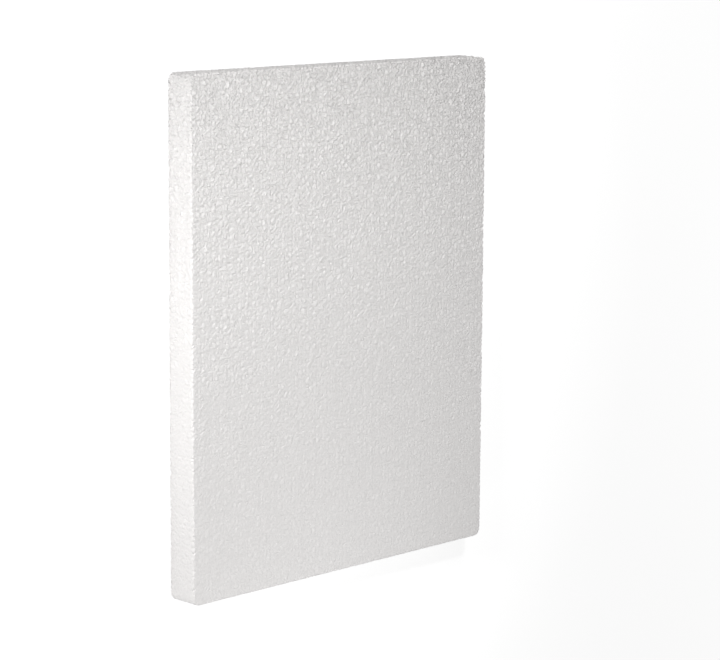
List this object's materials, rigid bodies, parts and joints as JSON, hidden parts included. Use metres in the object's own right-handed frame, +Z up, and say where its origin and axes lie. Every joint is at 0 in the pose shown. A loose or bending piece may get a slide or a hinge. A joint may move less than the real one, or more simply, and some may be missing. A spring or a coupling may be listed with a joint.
{
  "type": "polystyrene foam sheet",
  "caption": "Flat rectangular sheet of white expanded polystyrene foam with rounded corners and softened edges, for packing, craft and backing.",
  "frame": {"origin": "centre of the underside of the sheet, which lies flat", "axes": "+X across the width, +Y along the length, +Z up through the thickness"},
  "size_m": [0.24, 0.3, 0.02],
  "materials": {
    "foam": "matt fused beads 3 to 4 mm across, with small shiny glints"
  },
  "bodies": {
    "root": {"foam_sheet": "foam"}
  },
  "joints": []
}
